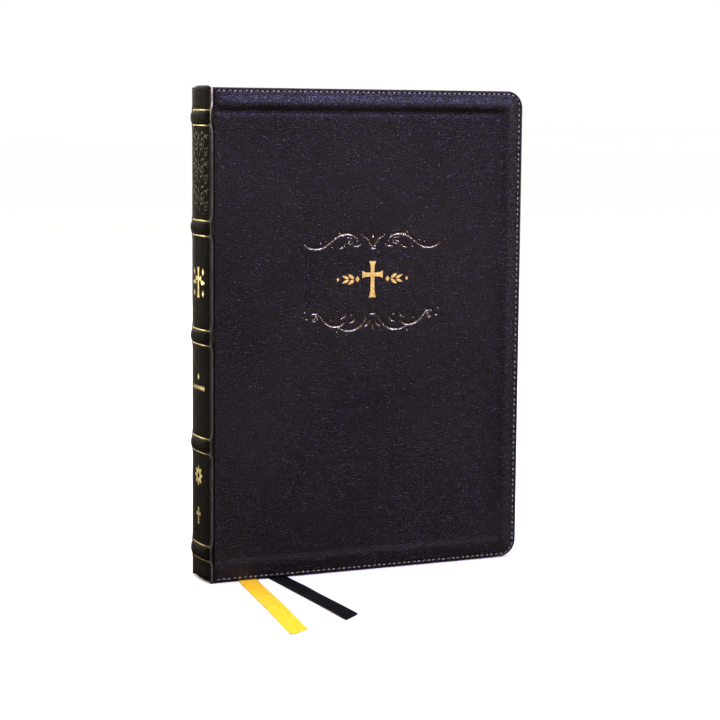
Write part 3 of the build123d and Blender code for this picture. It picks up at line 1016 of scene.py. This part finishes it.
# thin opaque paper; two columns of grey dashes stand for print, with no letters
def paperMaterial():
    material, tree, shader = newMaterial("thinBiblePaper", Roughness=0.7, Subsurface_Weight=0.1,
                                         Subsurface_Scale=0.0005)
    rest = addNode(tree, "ShaderNodeUVMap", {"uv_map": "rest"}).outputs[0]
    parts = addNode(tree, "ShaderNodeSeparateXYZ", Vector=rest)
    u, z = parts.outputs[0], parts.outputs[1]

    def math2(operation, a, b=0.0, c=0.0):
        return addNode(tree, "ShaderNodeMath", {"operation": operation}, _0=a, _1=b, _2=c).outputs[0]

    row = math2("FLOOR", math2("DIVIDE", z, printArea["line"]))
    inRow = math2("LESS_THAN", math2("FRACT", math2("DIVIDE", z, printArea["line"])), printArea["ink"])
    cell = math2("FLOOR", math2("DIVIDE", u, printArea["cell"]))
    cellPoint = addNode(tree, "ShaderNodeCombineXYZ", X=cell, Y=row).outputs[0]
    chance = addNode(tree, "ShaderNodeTexWhiteNoise", {"noise_dimensions": "2D"}, Vector=cellPoint)
    word = math2("LESS_THAN", chance.outputs[0], 0.83)
    pageLow, pageHigh = inMm(span("middle_leaf")[0]), inMm(span("middle_leaf")[1])
    left, right = pageLow[0] + printArea["gutter"], pageHigh[0] - printArea["fore"]
    middle = (left + right) / 2
    inside = math2("MULTIPLY", math2("GREATER_THAN", u, left), math2("LESS_THAN", u, right))
    tall = math2("MULTIPLY", math2("GREATER_THAN", z, pageLow[2] + printArea["ends"]),
                 math2("LESS_THAN", z, pageHigh[2] - printArea["ends"]))
    fromMiddle = math2("ABSOLUTE", math2("SUBTRACT", u, middle))
    offMiddle = math2("GREATER_THAN", fromMiddle, printArea["middle"] / 2)
    ink = math2("MULTIPLY", math2("MULTIPLY", inRow, word), math2("MULTIPLY", inside, tall))
    ink = math2("MULTIPLY", math2("MULTIPLY", ink, offMiddle), 0.62)
    fibre = addNode(tree, "ShaderNodeTexNoise", Vector=rest, Scale=0.35, Detail=6.0)
    sheet = ramp(tree, fibre.outputs[0], [(0.35, "#e6dcc4"), (0.65, "#f1ead8")])
    mixed = addNode(tree, "ShaderNodeMix", {"data_type": "RGBA"}, Factor=ink, _6=sheet,
                    _7=hexColour("#3b3632"))
    coat(tree, shader, mixed.outputs[2], fibre.outputs[0], 0.15, 0.1)
    return material


paper = paperMaterial()

# endpaper: dyed black, faint fibres
endpaper, endTree, endShader = newMaterial("blackEndpaper", Roughness=0.62)
endSpot = addNode(endTree, "ShaderNodeUVMap", {"uv_map": "rest"}).outputs[0]
endFibre = addNode(endTree, "ShaderNodeTexNoise", Vector=endSpot, Scale=0.5, Detail=6.0)
coat(endTree, endShader, ramp(endTree, endFibre.outputs[0], [(0.35, "#151314"), (0.7, "#221f1f")]),
     endFibre.outputs[0], 0.3, 0.1)


# round-cornered stack of leaves that fills a CAD node's box, cut into thin layers
def slabOf(node, layers, columns, rows, faceMaterial, edgeMaterial, name, ragged=0.0, seed=0):
    low, high = inMm(span(node)[0]), inMm(span(node)[1])
    radius = 6.0
    uLine = gradedLine([(low[0], (high[0] - low[0]) / columns), (high[0] - radius, 1.0), (high[0], 1)])
    zLine = gradedLine([(low[2], 1.0), (low[2] + radius, (high[2] - low[2]) / rows),
                        (high[2] - radius, 1.0), (high[2], 1)])
    bm, us, zs = gridOn(uLine, zLine)
    us, zs = roundCorners(us, zs, high[0], low[2], high[2], radius)
    for vertex, u, z in zip(bm.verts, us, zs):
        vertex.co = (u, low[1], z)
    draw = random.Random(seed)
    rim = [e for e in bm.edges if e.is_boundary]
    thickness = high[1] - low[1]
    middle = Vector(((low[0] + high[0]) / 2, (low[2] + high[2]) / 2))
    for layer in range(1, layers + 1):
        grown = bmesh.ops.extrude_edge_only(bm, edges=rim)["geom"]
        fresh = {g for g in grown if isinstance(g, bmesh.types.BMVert)}
        rim = [g for g in grown if isinstance(g, bmesh.types.BMEdge) and all(v in fresh for v in g.verts)]
        shift = draw.uniform(-ragged, 0) if layer < layers else 0
        for vertex in fresh:
            u, v, z = vertex.co
            vertex.co = (u + shift * (u > middle.x), low[1] + thickness * layer / layers, z)
    bmesh.ops.holes_fill(bm, edges=rim, sides=0)
    rest = bm.loops.layers.uv.new("rest")
    bmesh.ops.recalc_face_normals(bm, faces=bm.faces)
    for face in bm.faces:
        flat = abs(face.normal.y) > 0.7
        face.material_index = 0 if flat else 1
        face.smooth = flat
        for loop in face.loops:
            u, v, z = loop.vert.co
            loop[rest].uv = (u, z) if flat else (v, u + z)
    for vertex in bm.verts:
        vertex.co = place(*vertex.co)
    piece = newPiece(name, bm, [faceMaterial, edgeMaterial])
    sharpenBy(piece, 35)
    return piece


# each stack of pages: one with no second body listed rides on its own body; the others are left baked where
# they lie
sectionBodies = {8: ("rear_pages", "section_7"), 7: ("section_7", "section_6"), 6: ("section_6", "section_5"),
                 5: ("section_5", None), 4: ("section_4", None), 3: ("section_4", "section_3"),
                 2: ("section_3", "section_2"), 1: ("section_2", "section_1")}
for number, (near, far) in sectionBodies.items():
    node = f"page_section_{number}"
    piece = slabOf(node, 10, 4, 4, paper, giltEdge, f"pagesOfSection{number}", ragged=0.09, seed=number)
    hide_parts(node)
    if far is None:
        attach(piece, near)
    else:
        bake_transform(piece)
print("page sections done")

# single leaves: flat sheets, left baked where they lie
for node, near, far, material in (("middle_leaf", "section_5", "middle_leaf", paper),
                                  ("front_flyleaf", "section_1", "front_flyleaf", endpaper),
                                  ("back_flyleaf", "rear_pages", "back_flyleaf", endpaper)):
    piece = slabOf(node, 1, 90, 6, material, giltEdge, node.replace("_l", "L").replace("_f", "F") + "Sheet")
    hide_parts(node)
    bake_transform(piece)
print("leaves done")


# head and tail bands: cotton wound over a cord in two colours

bandMaterial, bandTree, bandShader = newMaterial("woundCottonBand", Roughness=0.6, Sheen_Weight=0.3)
bandSpot = addNode(bandTree, "ShaderNodeTexCoord").outputs["Object"]
bandStripe = addNode(bandTree, "ShaderNodeTexWave", {"bands_direction": "Y"}, Vector=bandSpot,
                     Scale=0.314 / (2.4 * mm) / 2, Distortion=0.3)
bandColour = ramp(bandTree, bandStripe.outputs["Fac"], [(0.46, "#1a1614"), (0.54, "#c79a3a")])
bandWind = addNode(bandTree, "ShaderNodeTexWave", {"bands_direction": "Y"}, Vector=bandSpot,
                   Scale=0.314 / (0.6 * mm) / 2)
coat(bandTree, bandShader, bandColour, bandWind.outputs["Fac"], 0.5, 0.2)


def buildBand(node):
    low, high = span(node)
    length = (high.y - low.y) / mm
    radius = (high.z - low.z) / mm / 2
    bm = bmesh.new()
    made = bmesh.ops.create_grid(bm, x_segments=240, y_segments=18, size=1)["verts"]
    centreU = (high.x - creaseX) / mm - radius
    for vertex in made:
        a, b = (vertex.co.x + 1) / 2, vertex.co.y
        v = a * length
        turn = b * math.pi * 0.98
        wound = radius * (0.93 + 0.07 * abs(math.sin(math.pi * v / 0.6)))
        endTaper = math.sqrt(max(0.02, 1 - max(0, abs(2 * a - 1) - 0.93) / 0.07))
        u = centreU + math.cos(turn) * wound * endTaper
        z = (low.z + high.z) / 2 / mm + math.sin(turn) * wound * endTaper
        vertex.co = (u, v + (low.y - frontY) / mm, z)
    bmesh.ops.remove_doubles(bm, verts=bm.verts, dist=0.02)
    bmesh.ops.holes_fill(bm, edges=[e for e in bm.edges if e.is_boundary], sides=0)
    tape = bmesh.ops.create_cube(bm, size=1)["verts"]
    tapeLow, tapeHigh = -0.6, centreU
    for vertex in tape:
        vertex.co = (tapeLow + (vertex.co.x + 0.5) * (tapeHigh - tapeLow),
                     (low.y - frontY) / mm + (vertex.co.y + 0.5) * length,
                     (low.z + high.z) / 2 / mm + vertex.co.z * radius * 1.2)
    bmesh.ops.bevel(bm, geom=[e for e in bm.edges if all(v in tape for v in e.verts)], offset=0.2,
                    affect="EDGES", segments=2, profile=0.5, material=-1)
    for vertex in bm.verts:
        vertex.co = place(*vertex.co)
    bmesh.ops.recalc_face_normals(bm, faces=bm.faces)
    piece = newPiece(node.replace("_b", "B"), bm, [bandMaterial])
    sharpenBy(piece, 60)
    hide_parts(node)
    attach(piece, "spine")


buildBand("head_band")
buildBand("tail_band")
print("bands done")


# CAD nodes that keep their shape get their own finish

liningMaterial = leatherMaterial("smoothLeatherCloth", dark="#0e0c0c", light="#1a1717", roughness=(0.5, 0.6))

mullMaterial, mullTree, mullShader = newMaterial("openMullCloth", Roughness=0.8)
mullSpot = addNode(mullTree, "ShaderNodeTexCoord").outputs["Object"]
mullWeave = addNode(mullTree, "ShaderNodeTexChecker", Vector=mullSpot, Scale=1 / (0.8 * mm),
                    Color1=hexColour("#cfc4a8"), Color2=hexColour("#a89a78"))
coat(mullTree, mullShader, mullWeave.outputs[0], mullWeave.outputs[1], 0.6, 0.2)


def finish(material, *nodes):
    for node in nodes:
        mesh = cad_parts[node].data
        mesh.materials.clear()
        mesh.materials.append(material)


finish(liningMaterial, "front_cover_lining", "back_cover_lining")
finish(boardMaterial, "front_cover_board", "back_cover_board", "spine_inlay")
finish(mullMaterial, "spine_lining")


# the length inside the pages: a woven strip laid in the CAD strip's own place
def heldRibbon(name):
    node = name + "_ribbon"
    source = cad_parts[node]
    bm = bmesh.new()
    bm.from_mesh(source.data)
    bm.transform(source.matrix_world)
    bmesh.ops.remove_doubles(bm, verts=bm.verts, dist=0.01 * mm)
    weave = bm.loops.layers.uv.new("weave")
    for face in bm.faces:
        for loop in face.loops:
            x, y, z = loop.vert.co
            loop[weave].uv = ((z - y) / mm, x / mm)
    piece = newPiece(name + "RibbonHeld", bm, [satin[name]])
    sharpenBy(piece, 30)
    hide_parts(node)
    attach(piece, "rear_pages")


heldRibbon("gold")
heldRibbon("black")
print("held ribbons done")


# floor and light
bpy.context.scene.view_settings.view_transform = "Standard"      # keeps the floor white and the leather black
floorMaterial, floorTree, floorShader = newMaterial("paleFloor", Roughness=0.6)
floorNoise = addNode(floorTree, "ShaderNodeTexNoise", Scale=3.0)
linked(floorTree, ramp(floorTree, floorNoise.outputs[0], [(0.3, "#f6f6f5"), (0.7, "#fafaf9")]),
       floorShader.inputs["Base Color"])
floorBm = bmesh.new()
bmesh.ops.create_grid(floorBm, x_segments=1, y_segments=1, size=40)
bmesh.ops.translate(floorBm, verts=floorBm.verts, vec=(0, 0, -0.2 * mm))
floor = newPiece("floor", floorBm, [floorMaterial])
floor.visible_glossy = False      # the dark leather mirrors the studio, not the white floor

world = bpy.data.worlds.new("studio")
bpy.context.scene.world = world
world.use_nodes = True
worldTree = world.node_tree
worldTree.nodes.clear()
seen = addNode(worldTree, "ShaderNodeBackground", Color=hexColour("#ffffff"), Strength=1.0)
room = addNode(worldTree, "ShaderNodeBackground", Color=hexColour("#f8e4cc"), Strength=0.075)
rays = addNode(worldTree, "ShaderNodeLightPath")
roomMix = addNode(worldTree, "ShaderNodeMixShader", _0=rays.outputs["Is Camera Ray"], _1=room.outputs[0],
                  _2=seen.outputs[0])
addNode(worldTree, "ShaderNodeOutputWorld", Surface=roomMix.outputs[0])


def softLight(name, location, target, size, power, colour):
    light = bpy.data.lights.new(name, "AREA")
    light.shape = "RECTANGLE"
    light.size, light.size_y = size
    light.energy = power
    light.color = hexColour(colour)[:3]
    lamp = bpy.data.objects.new(name, light)
    bpy.context.scene.collection.objects.link(lamp)
    lamp.location = location
    lamp.visible_camera = False
    lamp.rotation_euler = (Vector(target) - Vector(location)).to_track_quat("-Z", "Y").to_euler()


overhead = bpy.data.lights.new("overhead", "SUN")
overhead.energy = 3.6
overhead.angle = math.radians(70)
overheadLamp = bpy.data.objects.new("overhead", overhead)
bpy.context.scene.collection.objects.link(overheadLamp)
for name, location, target, size, power, colour in (
        ("violetTop", (0.5, -1.0, 0.84), (0.02, 0.0, 0.23), (0.6, 0.22), 25, "#bab1ff"),
        ("creamLeft", (-1.1, -0.5, 0.6), (-0.08, 0.0, 0.17), (0.25, 0.7), 7, "#fff0d2"),
        ("rimBehind", (0.1, 1.5, 0.3), (-0.085, 0.0, 0.12), (0.5, 1.0), 7, "#fff1da"),
        ("rimBack", (-0.75, 1.15, 0.35), (-0.085, 0.0, 0.12), (0.25, 1.1), 4, "#fff1da"),
        ("rimRight", (1.3, 0.15, 0.25), (0.08, 0.0, 0.12), (0.6, 1.0), 10, "#fff6ee"),
        ("backSoft", (-0.5, 1.3, 1.2), (0.0, 0.0, 0.15), (0.9, 0.5), 16, "#f4f2ff"),
        ("frontWash", (0.75, -1.5, 0.12), (0.0, 0.0, 0.05), (1.0, 0.5), 3, "#ffd39c")):
    softLight(name, location, target, size, power, colour)
print("lights done")
